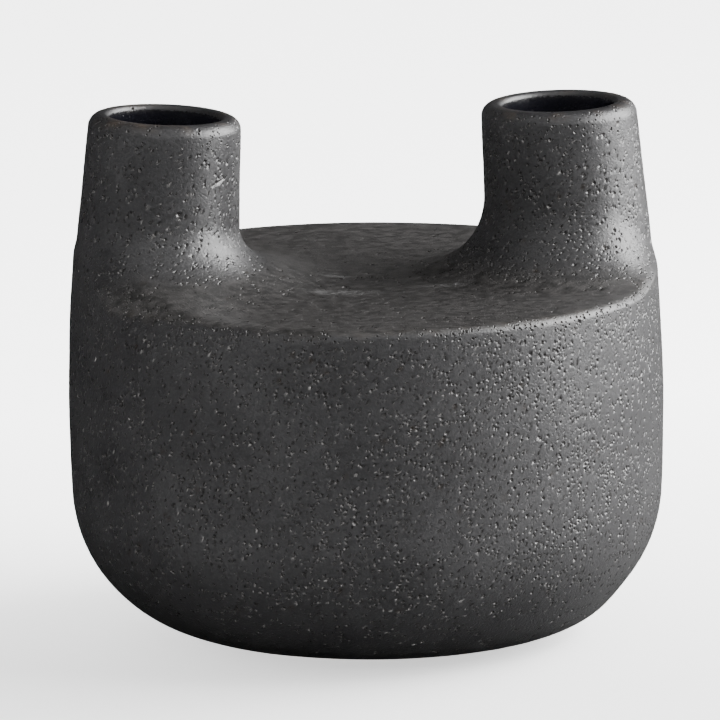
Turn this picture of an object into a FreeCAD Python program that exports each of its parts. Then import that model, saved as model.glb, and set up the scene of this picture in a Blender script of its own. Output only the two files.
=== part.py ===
import FreeCAD, Part
import math
import os
import Sketcher

# A squat stoneware vase with two necks, glazed inside and out.
#
# The bowl is thrown, closed with a flat slab, and carries two thrown necks that lean towards each other.
# A coil of clay is worked into the corner round each neck, another into the seam under the slab, and a ring
# is turned under the base as a foot. Two coats of glaze cover the clay.
#
# The origin is the middle of the foot, on the surface that the vase stands on. Z is up and the necks stand
# along X. All sizes are millimetres and degrees. A surface "at depth d" lies d inside the glazed surface.

SIZES = {
    "body_radius": 100,
    "belly_height": 77.9,
    "wall_arc_radius": 600,
    "corner_radius": 48,
    "corner_height": 49.9,
    "base_arc_radius": 60,
    "base_height": 1.75,
    "shoulder_height": 121,
    "glaze_thickness": 0.8,
    "wall_thickness": 6.7,
    "slab_thickness": 6.5,
    "slab_step": 1.5,
    "seam_coil_radius": 8,
    "left_neck_offset": 70.3,
    "right_neck_offset": 69.9,
    "neck_lean": 4.2,
    "neck_height": 56.9,
    "neck_root": 20,
    "neck_base_radius": 28,
    "neck_top_radius": 25.4,
    "bore_base_radius": 19.5,
    "bore_top_radius": 18.9,
    "lip_outer_radius": 4.2,
    "lip_inner_radius": 1.7,
    "flare_radius": 14,
    "foot_radius": 47,
    "foot_width": 7,
    "foot_edge_radius": 1,
    "glaze_line_radius": 49.5,
    "clearance": 20,
}

GLAZED = "0"
CLAY = "sizes.glaze_thickness"
INSIDE_CLAY = "sizes.glaze_thickness + sizes.wall_thickness"
INSIDE_GLAZED = "2 * sizes.glaze_thickness + sizes.wall_thickness"
SLAB_BOTTOM = "sizes.shoulder_height - sizes.glaze_thickness - sizes.slab_thickness"
STEP_BOTTOM = SLAB_BOTTOM + " - sizes.slab_step"

# The neck's own frame has its origin on the glazed shoulder and Z along the neck.
NECK_PLACE = (
    "create(<<placement>>; create(<<vector>>; -sizes.{side}_neck_offset; 0; sizes.shoulder_height);"
    " create(<<rotation>>; create(<<vector>>; 0; 1; 0); sizes.neck_lean))"
)
# The right neck is placed like the left one, and then turned half a turn about the vase's axis.
HALF_TURN = (
    "create(<<placement>>; create(<<vector>>; 0; 0; 0);"
    " create(<<rotation>>; create(<<vector>>; 0; 0; 1); 180))"
)
NECK_PLACES = {
    "left": NECK_PLACE.format(side="left"),
    "right": HALF_TURN + " * " + NECK_PLACE.format(side="right"),
}
ABOVE_LIP = "sizes.neck_height + sizes.clearance"
MITRE_RISE = "(sizes.neck_base_radius + sizes.clearance) * tan(sizes.neck_lean * 1deg)"
# Heights nearer than this are the same.
FLAT = 0.001

START, END, CENTRE = 1, 2, 3
ORIGIN = (-1, 1)
VERTICAL_AXIS = -2

doc = FreeCAD.newDocument("twin_neck_vase")
sheet = doc.addObject("Spreadsheet::Sheet", "sizes")


def fill_sheet():
    """One row of the sheet for each driving size: its name and its value."""
    for row, (name, size) in enumerate(SIZES.items(), start=1):
        sheet.set(f"A{row}", name)
        sheet.set(f"B{row}", str(size))
        sheet.setAlias(f"B{row}", name)
    doc.recompute()


def value(formula):
    return float(sheet.evalExpression(formula))


# Sketches


def new_body(name):
    return doc.addObject("PartDesign::Body", name)


def new_sketch(body, name, role="YZ_Plane"):
    """A sketch on one of the body's upright planes, where the sketch's x is Y (or X) and its y is Z."""
    plane = next(each for each in body.Origin.OriginFeatures if each.Role == role)
    sketch = body.newObject("Sketcher::SketchObject", name)
    sketch.AttachmentSupport = [(plane, "")]
    sketch.MapMode = "FlatFace"
    return sketch


def line(sketch, start, end):
    return sketch.addGeometry(Part.LineSegment(FreeCAD.Vector(*start), FreeCAD.Vector(*end)), False)


def arc(sketch, centre, radius, from_angle, to_angle):
    """An arc that runs anticlockwise between two angles in degrees."""
    circle = Part.Circle(FreeCAD.Vector(*centre), FreeCAD.Vector(0, 0, 1), radius)
    piece = Part.ArcOfCircle(circle, math.radians(from_angle), math.radians(to_angle))
    return sketch.addGeometry(piece, False)


def rule(sketch, kind, *places):
    return sketch.addConstraint(Sketcher.Constraint(kind, *places))


def measure(sketch, kind, places, formula):
    """A dimension whose value comes from the sheet."""
    size = value(formula)
    if kind == "Angle":
        size = math.radians(size)
    index = sketch.addConstraint(Sketcher.Constraint(kind, *places, size))
    sketch.setExpression(f"Constraints[{index}]", formula)


def join(sketch, first, second):
    rule(sketch, "Coincident", *first, *second)


def join_smoothly(sketch, first, second):
    rule(sketch, "Tangent", *first, *second)


def at_height(sketch, place, formula):
    measure(sketch, "DistanceY", (*ORIGIN, *place), formula)


def at_radius(sketch, place, formula):
    measure(sketch, "DistanceX", (*ORIGIN, *place), formula)


def closed_outline(sketch, points):
    """Straight sides from each point to the next and back to the first."""
    sides = [line(sketch, start, end) for start, end in zip(points, points[1:] + points[:1])]
    for before, after in zip(sides, sides[1:] + sides[:1]):
        join(sketch, (before, END), (after, START))
    return sides


def close_on_axis(sketch, bottom, top, bottom_place, top_place):
    """The last side of a section, along the axis that it turns about."""
    axis = line(sketch, (0, top), (0, bottom))
    join(sketch, (axis, START), top_place)
    join(sketch, (axis, END), bottom_place)
    rule(sketch, "Vertical", axis)
    rule(sketch, "PointOnObject", axis, START, VERTICAL_AXIS)


def turned(body, sketch, name):
    """Turns a sketch's closed outline about the Z axis."""
    feature = body.newObject("PartDesign::Revolution", name)
    feature.Profile = sketch
    feature.ReferenceAxis = (sketch, ["V_Axis"])
    feature.Angle = 360
    sketch.Visibility = False
    return feature


# The wall of the body, as arcs about fixed centres


def wall_centre():
    return value("sizes.body_radius - sizes.wall_arc_radius"), value("sizes.belly_height")


def corner_centre():
    wall_x, wall_z = wall_centre()
    z = value("sizes.corner_height")
    reach = value("sizes.wall_arc_radius - sizes.corner_radius")
    return wall_x + math.sqrt(reach**2 - (wall_z - z) ** 2), z


def wall_radius(depth):
    return value(f"sizes.wall_arc_radius - ({depth})")


def wall_x(depth, z):
    x, centre_z = wall_centre()
    return x + math.sqrt(wall_radius(depth) ** 2 - (z - centre_z) ** 2)


def wall_angle(depth, z):
    return math.degrees(math.asin((z - wall_centre()[1]) / wall_radius(depth)))


def corner_end_angle():
    wall, corner = wall_centre(), corner_centre()
    return math.degrees(math.atan2(corner[1] - wall[1], corner[0] - wall[0]))


def wall_arc(sketch, depth, from_z, to_z):
    """Part of the wall between two heights, about the wall's centre."""
    edge = arc(sketch, wall_centre(), wall_radius(depth), wall_angle(depth, from_z), wall_angle(depth, to_z))
    measure(sketch, "Radius", (edge,), f"sizes.wall_arc_radius - ({depth})")
    measure(sketch, "DistanceX", (edge, CENTRE, *ORIGIN), "sizes.wall_arc_radius - sizes.body_radius")
    at_height(sketch, (edge, CENTRE), "sizes.belly_height")
    return edge


def corner_and_wall(sketch, depth, from_angle, to_z):
    """The round corner above the base and the wall above it."""
    x, z = corner_centre()
    radius = value(f"sizes.corner_radius - ({depth})")
    corner = arc(sketch, (x, z), radius, from_angle, corner_end_angle())
    start_z = z + radius * math.sin(math.radians(corner_end_angle()))
    wall = wall_arc(sketch, depth, start_z, to_z)
    join_smoothly(sketch, (corner, END), (wall, START))
    at_height(sketch, (corner, CENTRE), "sizes.corner_height")
    return corner, wall


def outside(sketch, depth, to_z):
    """Base, base arc, corner and wall, from the axis outwards. Returns the base line and the wall."""
    x, z = corner_centre()
    base_radius = value(f"sizes.base_arc_radius - ({depth})")
    base_z = value(f"sizes.base_height + ({depth})")
    rise = base_z + base_radius - z
    reach = value("sizes.base_arc_radius - sizes.corner_radius")
    base_x = x - math.sqrt(reach**2 - rise**2)
    turn = math.degrees(math.asin((x - base_x) / reach)) - 90
    base = line(sketch, (0, base_z), (base_x, base_z))
    bend = arc(sketch, (base_x, base_z + base_radius), base_radius, -90, turn)
    corner, wall = corner_and_wall(sketch, depth, turn, to_z)
    join_smoothly(sketch, (base, END), (bend, START))
    join_smoothly(sketch, (bend, END), (corner, START))
    rule(sketch, "Horizontal", base)
    measure(sketch, "Radius", (bend,), f"sizes.base_arc_radius - ({depth})")
    measure(sketch, "Radius", (corner,), f"sizes.corner_radius - ({depth})")
    at_height(sketch, (base, START), f"sizes.base_height + ({depth})")
    return base, wall


def inside(sketch, depth, to_z):
    """Floor, corner and wall, from the axis outwards. Returns the floor line and the wall."""
    x, z = corner_centre()
    floor_z = z - value(f"sizes.corner_radius - ({depth})")
    floor = line(sketch, (0, floor_z), (x, floor_z))
    corner, wall = corner_and_wall(sketch, depth, -90, to_z)
    join_smoothly(sketch, (floor, END), (corner, START))
    rule(sketch, "Horizontal", floor)
    measure(sketch, "DistanceX", (*ORIGIN, corner, CENTRE), corner_centre_formula())
    return floor, wall


def corner_centre_formula():
    """The corner's centre, so that the corner runs smoothly into the wall."""
    return (
        "sizes.body_radius - sizes.wall_arc_radius"
        " + sqrt((sizes.wall_arc_radius - sizes.corner_radius) ^ 2"
        " - (sizes.belly_height - sizes.corner_height) ^ 2)"
    )


# Clay


def make_bowl():
    """Floor and wall, open at the top, with a flat rim that carries the slab."""
    body = new_body("bowl")
    sketch = new_sketch(body, "bowl_section")
    rim_z = value(SLAB_BOTTOM)
    base, outer_wall = outside(sketch, CLAY, rim_z)
    floor, inner_wall = inside(sketch, INSIDE_CLAY, rim_z)
    rim = line(sketch, (wall_x(CLAY, rim_z), rim_z), (wall_x(INSIDE_CLAY, rim_z), rim_z))
    join(sketch, (rim, START), (outer_wall, END))
    join(sketch, (rim, END), (inner_wall, END))
    rule(sketch, "Horizontal", rim)
    at_height(sketch, (rim, START), SLAB_BOTTOM)
    floor_z = corner_centre()[1] - value(f"sizes.corner_radius - ({INSIDE_CLAY})")
    close_on_axis(sketch, value("sizes.base_height + " + CLAY), floor_z, (base, START), (floor, START))
    turned(body, sketch, "bowl_turned")
    return body


def make_slab_blank():
    """The disc that closes the bowl, before the bores: its step drops inside the bowl's rim."""
    body = new_body("slab_blank")
    sketch = new_sketch(body, "slab_section")
    step_z, ledge_z = value(STEP_BOTTOM), value(SLAB_BOTTOM)
    top_z = value("sizes.shoulder_height - " + CLAY)
    bottom = line(sketch, (0, step_z), (wall_x(INSIDE_CLAY, step_z), step_z))
    step_side = wall_arc(sketch, INSIDE_CLAY, step_z, ledge_z)
    ledge = line(sketch, (wall_x(INSIDE_CLAY, ledge_z), ledge_z), (wall_x(CLAY, ledge_z), ledge_z))
    edge = wall_arc(sketch, CLAY, ledge_z, top_z)
    top = line(sketch, (wall_x(CLAY, top_z), top_z), (0, top_z))
    corners = [(bottom, step_side), (step_side, ledge), (ledge, edge), (edge, top)]
    for before, after in corners:
        join(sketch, (before, END), (after, START))
    levels = ((bottom, STEP_BOTTOM), (ledge, SLAB_BOTTOM), (top, "sizes.shoulder_height - " + CLAY))
    for level, formula in levels:
        rule(sketch, "Horizontal", level)
        at_height(sketch, (level, START), formula)
    close_on_axis(sketch, step_z, top_z, (bottom, START), (top, END))
    turned(body, sketch, "slab_turned")
    return body


def coil_curve(sketch, depth, cover):
    """The hollow curve of the seam coil, from the wall below it round to the roof, under a cover of glaze."""
    radius = value(f"sizes.seam_coil_radius - ({cover})")
    x, z = wall_centre()
    curve_z = value(f"{STEP_BOTTOM} - sizes.seam_coil_radius")
    curve_x = x + math.sqrt((wall_radius(depth) - radius) ** 2 - (curve_z - z) ** 2)
    from_angle = math.degrees(math.atan2(curve_z - z, curve_x - x))
    curve = arc(sketch, (curve_x, curve_z), radius, from_angle, 90)
    measure(sketch, "Radius", (curve,), f"sizes.seam_coil_radius - ({cover})")
    return curve, curve_x, curve_z + radius * math.sin(math.radians(from_angle))


def roof_line(sketch, start_x, end_x, cover):
    """The level line of the slab's underside, under a cover of glaze."""
    z = value(f"{STEP_BOTTOM} - ({cover})")
    roof = line(sketch, (start_x, z), (end_x, z))
    rule(sketch, "Horizontal", roof)
    at_height(sketch, (roof, START), f"{STEP_BOTTOM} - ({cover})")
    return roof


def make_seam_coil_blank():
    """A coil in the corner between the wall and the slab's step, smoothed to a hollow curve."""
    body = new_body("seam_coil_blank")
    sketch = new_sketch(body, "seam_coil_section")
    roof_z = value(STEP_BOTTOM)
    curve, curve_x, foot_z = coil_curve(sketch, INSIDE_CLAY, GLAZED)
    roof = roof_line(sketch, curve_x, wall_x(INSIDE_CLAY, roof_z), GLAZED)
    back = wall_arc(sketch, INSIDE_CLAY, foot_z, roof_z)
    join_smoothly(sketch, (curve, END), (roof, START))
    join(sketch, (roof, END), (back, END))
    join_smoothly(sketch, (curve, START), (back, START))
    turned(body, sketch, "seam_coil_turned")
    return body


def make_foot_ring():
    """A turned ring under the base, rounded where it meets the table."""
    body = new_body("foot_ring")
    sketch = new_sketch(body, "foot_section")
    outer, inner = value("sizes.foot_radius"), value("sizes.foot_radius - sizes.foot_width")
    top = value("sizes.base_height + " + CLAY)
    points = [(inner, 0), (outer, 0), (outer, top), (inner, top)]
    sole, outer_side, seat, inner_side = closed_outline(sketch, points)
    for level in (sole, seat):
        rule(sketch, "Horizontal", level)
    for upright in (outer_side, inner_side):
        rule(sketch, "Vertical", upright)
    at_radius(sketch, (sole, END), "sizes.foot_radius")
    at_radius(sketch, (sole, START), "sizes.foot_radius - sizes.foot_width")
    at_height(sketch, (sole, START), "0")
    at_height(sketch, (seat, START), "sizes.base_height + " + CLAY)
    ring = turned(body, sketch, "foot_turned")
    doc.recompute()
    low_edges = [
        f"Edge{i}"
        for i, edge in enumerate(ring.Shape.Edges, start=1)
        if edge.BoundBox.ZMax < top / 2 and abs(edge.BoundBox.XLength - edge.BoundBox.YLength) < top / 2
    ]
    rounding = body.newObject("PartDesign::Fillet", "foot_rounding")
    rounding.Base = (ring, low_edges)
    rounding.setExpression("Radius", "sizes.foot_edge_radius")
    return body


# Necks, in their own frame


def guide(sketch, kind, change):
    """The straight line of a neck's side or of its bore, which a later line is laid along."""
    low_x, high_x = f"sizes.{kind}_base_radius {change}", f"sizes.{kind}_top_radius {change}"
    line_index = line(sketch, (value(low_x), 0), (value(high_x), value("sizes.neck_height")))
    sketch.toggleConstruction(line_index)
    at_radius(sketch, (line_index, START), low_x)
    at_radius(sketch, (line_index, END), high_x)
    at_height(sketch, (line_index, START), "0")
    at_height(sketch, (line_index, END), "sizes.neck_height")
    return line_index


def root_and_side(sketch, kind, change, top_z):
    """The level bottom below the shoulder and the side above it, as far as a height."""
    along = guide(sketch, kind, change)
    root_z = -value("sizes.neck_root")
    slope = value(f"(sizes.{kind}_base_radius - sizes.{kind}_top_radius) / sizes.neck_height")
    low_x = value(f"sizes.{kind}_base_radius {change}")
    root_x, top_x = low_x - slope * root_z, low_x - slope * top_z
    root = line(sketch, (0, root_z), (root_x, root_z))
    side = line(sketch, (root_x, root_z), (top_x, top_z))
    rule(sketch, "Horizontal", root)
    join(sketch, (root, END), (side, START))
    rule(sketch, "Tangent", side, along)
    measure(sketch, "DistanceY", (root, START, *ORIGIN), "sizes.neck_root")
    return root, side, top_x, slope


def neck_outline(sketch, cover):
    """The solid neck, without its bore: side, outer round of the lip and level crest."""
    radius = value(f"sizes.lip_outer_radius - ({cover})")
    crest_z = value(f"sizes.neck_height - ({cover})")
    root, side, side_x, slope = root_and_side(sketch, "neck", f"- ({cover})", crest_z - radius)
    tilt = math.degrees(math.atan(slope))
    lip_x = side_x - radius / math.cos(math.radians(tilt))
    lip = arc(sketch, (lip_x, crest_z - radius), radius, tilt, 90)
    crest = line(sketch, (lip_x, crest_z), (0, crest_z))
    join_smoothly(sketch, (side, END), (lip, START))
    join_smoothly(sketch, (lip, END), (crest, START))
    rule(sketch, "Horizontal", crest)
    measure(sketch, "Radius", (lip,), f"sizes.lip_outer_radius - ({cover})")
    at_height(sketch, (crest, START), f"sizes.neck_height - ({cover})")
    close_on_axis(sketch, -value("sizes.neck_root"), crest_z, (root, START), (crest, END))


def bore_outline(sketch, cover, top):
    """The bore, widened by a cover of glaze: side, inner round of the lip and a straight way out above it."""
    radius = value(f"sizes.lip_inner_radius - ({cover})")
    crest_z, top_z = value(f"sizes.neck_height - ({cover})"), value(top)
    root, side, side_x, slope = root_and_side(sketch, "bore", f"+ ({cover})", crest_z - radius)
    tilt = math.degrees(math.atan(slope))
    lip_x = side_x + radius / math.cos(math.radians(tilt))
    lip = arc(sketch, (lip_x, crest_z - radius), radius, 90, 180 + tilt)
    way_out = line(sketch, (lip_x, crest_z), (lip_x, top_z))
    end = line(sketch, (lip_x, top_z), (0, top_z))
    join_smoothly(sketch, (side, END), (lip, END))
    join(sketch, (lip, START), (way_out, START))
    rule(sketch, "Vertical", lip, START, lip, CENTRE)
    rule(sketch, "Vertical", way_out)
    join(sketch, (way_out, END), (end, START))
    rule(sketch, "Horizontal", end)
    measure(sketch, "Radius", (lip,), f"sizes.lip_inner_radius - ({cover})")
    at_height(sketch, (way_out, START), f"sizes.neck_height - ({cover})")
    at_height(sketch, (end, START), top)
    close_on_axis(sketch, -value("sizes.neck_root"), top_z, (root, START), (end, END))


def make_neck_form(side, cover, suffix):
    """A neck's outside as one solid, in its place on the vase."""
    body = new_body(f"{side}_neck_{suffix}")
    sketch = new_sketch(body, f"{side}_neck_{suffix}_section", "XZ_Plane")
    neck_outline(sketch, cover)
    turned(body, sketch, f"{side}_neck_{suffix}_turned")
    body.setExpression("Placement", NECK_PLACES[side])
    return body


def make_bore_form(side, cover, top, suffix):
    """A bore as one solid, in its place on the vase."""
    body = new_body(f"{side}_bore_{suffix}")
    sketch = new_sketch(body, f"{side}_bore_{suffix}_section", "XZ_Plane")
    bore_outline(sketch, cover, top)
    turned(body, sketch, f"{side}_bore_{suffix}_turned")
    body.setExpression("Placement", NECK_PLACES[side])
    return body


def make_neck(side):
    """A clay neck: turned outside, bored out, and cut at its foot to stand flat on the leaning slab joint."""
    body = new_body(f"{side}_neck")
    outline = new_sketch(body, f"{side}_neck_section", "XZ_Plane")
    neck_outline(outline, CLAY)
    turned(body, outline, f"{side}_neck_turned")
    bore = new_sketch(body, f"{side}_neck_bore", "XZ_Plane")
    bore_outline(bore, CLAY, ABOVE_LIP)
    groove = body.newObject("PartDesign::Groove", f"{side}_neck_bored")
    groove.Profile = bore
    groove.ReferenceAxis = (bore, ["V_Axis"])
    groove.Angle = 360
    mitre = new_sketch(body, f"{side}_neck_mitre", "XZ_Plane")
    mitre_outline(mitre)
    pocket = body.newObject("PartDesign::Pocket", f"{side}_neck_cut")
    pocket.Profile = mitre
    pocket.Type = "ThroughAll"
    pocket.SideType = "Symmetric"
    body.setExpression("Placement", NECK_PLACES[side])
    return body


def mitre_outline(sketch):
    """What is cut off below the slab's top, which slopes by the neck's lean in the neck's own frame."""
    lean = math.radians(value("sizes.neck_lean"))
    depth = value(CLAY)
    reach = value("sizes.neck_base_radius + sizes.clearance")
    low = -value("sizes.neck_root + sizes.clearance")
    left_z = -reach * math.tan(lean) - depth / math.cos(lean)
    right_z = reach * math.tan(lean) - depth / math.cos(lean)
    points = [(-reach, low), (reach, low), (reach, right_z), (-reach, left_z)]
    bottom, right, _, left = closed_outline(sketch, points)
    rule(sketch, "Horizontal", bottom)
    rule(sketch, "Vertical", right)
    rule(sketch, "Vertical", left)
    at_radius(sketch, (right, START), "sizes.neck_base_radius + sizes.clearance")
    measure(sketch, "DistanceX", (bottom, START, *ORIGIN), "sizes.neck_base_radius + sizes.clearance")
    measure(sketch, "DistanceY", (bottom, START, *ORIGIN), "sizes.neck_root + sizes.clearance")
    for place, sign in (((right, END), "-"), ((left, START), "+")):
        drop = f"sizes.glaze_thickness / cos(sizes.neck_lean * 1deg) {sign} {MITRE_RISE}"
        measure(sketch, "DistanceY", (*place, *ORIGIN), drop)


# Booleans of whole forms


def combine(kind, name, **links):
    feature = doc.addObject(kind, name)
    for key, linked in links.items():
        setattr(feature, key, linked)
    return feature


def make_envelope(cover, suffix):
    """The body's outside, with its wall carried straight on past the shoulder, where it trims the necks."""
    body = new_body(f"envelope_{suffix}")
    sketch = new_sketch(body, f"envelope_{suffix}_section")
    shoulder_z = value(f"sizes.shoulder_height - ({cover})")
    base, wall = outside(sketch, cover, shoulder_z)
    top = "sizes.shoulder_height + sizes.neck_height + sizes.clearance"
    top_z = value(top)
    lean = math.radians(wall_angle(cover, shoulder_z))
    shoulder_x = wall_x(cover, shoulder_z)
    top_x = shoulder_x - (top_z - shoulder_z) * math.tan(lean)
    rise = line(sketch, (shoulder_x, shoulder_z), (top_x, top_z))
    roof = line(sketch, (top_x, top_z), (0, top_z))
    join_smoothly(sketch, (wall, END), (rise, START))
    join(sketch, (rise, END), (roof, START))
    rule(sketch, "Horizontal", roof)
    at_height(sketch, (rise, START), f"sizes.shoulder_height - ({cover})")
    at_height(sketch, (roof, START), top)
    close_on_axis(sketch, value(f"sizes.base_height + ({cover})"), top_z, (base, START), (roof, END))
    turned(body, sketch, f"envelope_{suffix}_turned")
    return body


def make_flare(side, cover, suffix):
    """A neck standing on a plate as high as the shoulder, before and after its corner is rounded."""
    plate = doc.addObject("Part::Cylinder", f"{side}_plate_{suffix}")
    plate.setExpression("Radius", "sizes.body_radius + sizes.clearance")
    plate.setExpression("Height", f"sizes.shoulder_height - ({cover}) + sizes.clearance")
    plate.setExpression("Placement.Base.z", "-sizes.clearance")
    neck = make_neck_form(side, cover, suffix)
    plain = combine("Part::Fuse", f"{side}_plain_{suffix}", Base=plate, Tool=neck)
    doc.recompute()
    shoulder_z = value(f"sizes.shoulder_height - ({cover})")
    reach = value("2 * sizes.neck_base_radius + sizes.clearance")
    corner = [
        i
        for i, edge in enumerate(plain.Shape.Edges, start=1)
        if abs(edge.BoundBox.ZMin - shoulder_z) < FLAT
        and abs(edge.BoundBox.ZMax - shoulder_z) < FLAT
        and edge.BoundBox.XLength < reach
    ]
    radius = value(f"sizes.flare_radius + ({cover})")
    rounded = combine("Part::Fillet", f"{side}_flare_{suffix}", Base=plain)
    rounded.Edges = [(i, radius, radius) for i in corner]
    return plain, rounded


def make_collar(side, plain, rounded, envelope):
    """The coil of clay worked into the corner round a neck, dressed off flush with the body's wall."""
    ring = combine("Part::Cut", f"{side}_coil", Base=rounded, Tool=plain)
    collar = combine("Part::Common", f"{side}_neck_collar", Base=ring, Tool=envelope)
    return collar


def make_hollow(depth, cover, bores, suffix):
    """All the room inside the vase, out through both necks, under a cover of glaze."""
    body = new_body(f"room_{suffix}")
    sketch = new_sketch(body, f"room_{suffix}_section")
    curve, curve_x, wall_top = coil_curve(sketch, depth, cover)
    floor, wall = inside(sketch, depth, wall_top)
    roof = roof_line(sketch, curve_x, 0, cover)
    join_smoothly(sketch, (wall, END), (curve, START))
    join_smoothly(sketch, (curve, END), (roof, START))
    floor_z = corner_centre()[1] - value(f"sizes.corner_radius - ({depth})")
    close_on_axis(sketch, floor_z, value(f"{STEP_BOTTOM} - ({cover})"), (floor, START), (roof, END))
    turned(body, sketch, f"room_{suffix}_turned")
    return combine("Part::MultiFuse", f"hollow_{suffix}", Shapes=[body, *bores])


def make_bare_base():
    """The disc of the base that is left bare, inside and just outside the foot."""
    disc = doc.addObject("Part::Cylinder", "bare_base")
    disc.setExpression("Radius", "sizes.glaze_line_radius")
    disc.setExpression("Height", "sizes.clearance")
    disc.setExpression("Placement.Base.z", "-sizes.clearance / 2")
    return disc


def check(parts):
    """Stops if any object failed or any piece isn't one sound solid."""
    failed = [each.Name for each in doc.Objects if {"Invalid", "Error"} & set(each.State)]
    if failed:
        raise RuntimeError(f"failed objects: {failed}")
    for part in parts:
        shape = part.Shape
        if shape.isNull() or not shape.isValid() or len(shape.Solids) != 1:
            raise RuntimeError(f"{part.Label}: {len(shape.Solids)} solids, valid {shape.isValid()}")


def build():
    fill_sheet()
    parts = [make_bowl(), make_foot_ring(), make_neck("left"), make_neck("right")]

    sides = ("left", "right")
    clay_bores = [make_bore_form(side, CLAY, ABOVE_LIP, "clay") for side in sides]
    lined_bores = [make_bore_form(side, CLAY, "sizes.neck_height", "lined") for side in sides]
    glazed_bores = [make_bore_form(side, GLAZED, ABOVE_LIP, "glazed") for side in sides]
    both_bores = combine("Part::MultiFuse", "both_bores", Shapes=clay_bores)
    parts.append(combine("Part::Cut", "shoulder_slab", Base=make_slab_blank(), Tool=both_bores))
    parts.append(combine("Part::Cut", "shoulder_seam_coil", Base=make_seam_coil_blank(), Tool=both_bores))

    outsides = []
    for cover, suffix in ((CLAY, "clay"), (GLAZED, "glazed")):
        envelope = make_envelope(cover, suffix)
        flares = {side: make_flare(side, cover, suffix) for side in sides}
        if cover == CLAY:
            parts += [make_collar(side, *flares[side], envelope) for side in sides]
        both = combine("Part::MultiFuse", f"flares_{suffix}", Shapes=[flares[side][1] for side in sides])
        outsides.append(combine("Part::Common", f"outside_{suffix}", Base=both, Tool=envelope))
    skin = combine("Part::Cut", "skin", Base=outsides[1], Tool=outsides[0])
    unglazed = combine("Part::MultiFuse", "unglazed", Shapes=[make_bare_base(), *clay_bores])
    parts.append(combine("Part::Cut", "outer_glaze", Base=skin, Tool=unglazed))

    clay_hollow = make_hollow(INSIDE_CLAY, GLAZED, lined_bores, "clay")
    glazed_hollow = make_hollow(INSIDE_GLAZED, CLAY, glazed_bores, "glazed")
    parts.append(combine("Part::Cut", "liner_glaze", Base=clay_hollow, Tool=glazed_hollow))

    doc.recompute()
    check(parts)
    os.makedirs("parts", exist_ok=True)
    for part in parts:
        part.Shape.exportStep(os.path.join("parts", f"{part.Label}.step"))
        print(f"{part.Label}: {part.Shape.Volume / 1000:.1f} cm3")


build()
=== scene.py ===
import math
from itertools import product

import bpy
import numpy as np
from mathutils import Matrix, Vector


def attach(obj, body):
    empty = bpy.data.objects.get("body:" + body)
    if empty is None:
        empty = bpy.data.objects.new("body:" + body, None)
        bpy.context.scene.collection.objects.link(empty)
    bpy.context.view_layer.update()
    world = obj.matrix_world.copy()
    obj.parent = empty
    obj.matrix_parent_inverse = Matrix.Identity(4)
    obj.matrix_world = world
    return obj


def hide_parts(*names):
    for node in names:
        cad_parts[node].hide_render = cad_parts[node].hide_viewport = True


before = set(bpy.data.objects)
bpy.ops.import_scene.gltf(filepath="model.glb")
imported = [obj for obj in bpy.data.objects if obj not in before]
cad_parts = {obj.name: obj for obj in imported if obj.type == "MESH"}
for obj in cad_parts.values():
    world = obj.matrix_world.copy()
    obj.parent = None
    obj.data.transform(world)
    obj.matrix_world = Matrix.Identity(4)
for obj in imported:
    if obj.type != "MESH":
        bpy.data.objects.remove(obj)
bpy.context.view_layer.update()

# The looks of a two-necked stoneware vase under a dark glaze full of burst bubbles.
#
# The glaze is one closed skin. Its shape is a distance field, in millimetres: a turned body with a flat
# shoulder, two leaning necks that flow into the shoulder, and the hollow inside. The skin is meshed from the
# field, refined wherever a burst bubble or a tight curve needs it, and then dented by every bubble. The slab,
# the necks and their collars under it are meshed from fields of their own.
#
# A field takes points, one to a row, and gives how far each lies outside the shape: less than 0 is inside.

MM = 0.001

# The turned body, as arcs about fixed centres.
BODY_RADIUS = 100.0
BELLY_HEIGHT = 77.9
WALL_ARC = 600.0
CORNER_ARC = 48.0
CORNER_HEIGHT = 49.9
BASE_ARC = 60.0
BASE_HEIGHT = 1.75
SHOULDER_HEIGHT = 121.0
# Rounds along the shoulder's edge: where it is crisp and where it is softest.
SHOULDER_EDGE, SOFT_EDGE = 2.8, 10.0

# The necks, each in its own frame on the shoulder, keyed by side: -1 is left and 1 is right.
# Each is a little different: the left one stands further out, and the right one leans and tapers less.
# A rim is cut nearer to level than its neck is to upright.
NECK_OFFSET = {-1: 70.95, 1: 70.1}
NECK_LEAN = {-1: math.radians(4.2), 1: math.radians(3.9)}
RIM_TILT = {-1: math.radians(2.9), 1: math.radians(1.2)}
NECK_HEIGHT = {-1: 57.35, 1: 56.6}
NECK_BASE = {-1: 28.0, 1: 28.2}
NECK_TOP = {-1: 25.4, 1: 25.95}
BORE_BASE, BORE_TOP, BORE_DEPTH = 19.5, 18.9, 20.0
LIP_OUTER, LIP_INNER = 4.2, 1.7
# How far a neck's root goes below the shoulder, and the curve by which it draws in there.
ROOT, ROOT_CURVE = 30.0, 25.0
# Rounds at the foot of the necks: the outer side of both, the inner side and front of the left one, and the
# rest of the right one.
FLARE_OUTER, FLARE_INNER, FLARE_FRONT, FLARE_RIGHT = 9.0, 10.0, 15.0, 25.0
# The shoulder's rise at the left neck, and how far from the neck it falls away.
MOUND, MOUND_REACH = 9.0, 22.0
# Round of the edge where the necks' feet are dressed off flush with the wall.
TRIM_EDGE = 0.8

# The room inside. The liner starts this far below the rims.
WALL_DEPTH = 8.3
ROOF_HEIGHT = 111.4
ROOF_CURVE = 7.2
FLOOR_HEIGHT = 10.2
LINER_DEPTH = 14.0

# The bare base, within the line where the glaze ends.
GLAZE_LINE = 49.5
BARE_HEIGHT = 2.6
BARE_EDGE = 0.4

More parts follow.
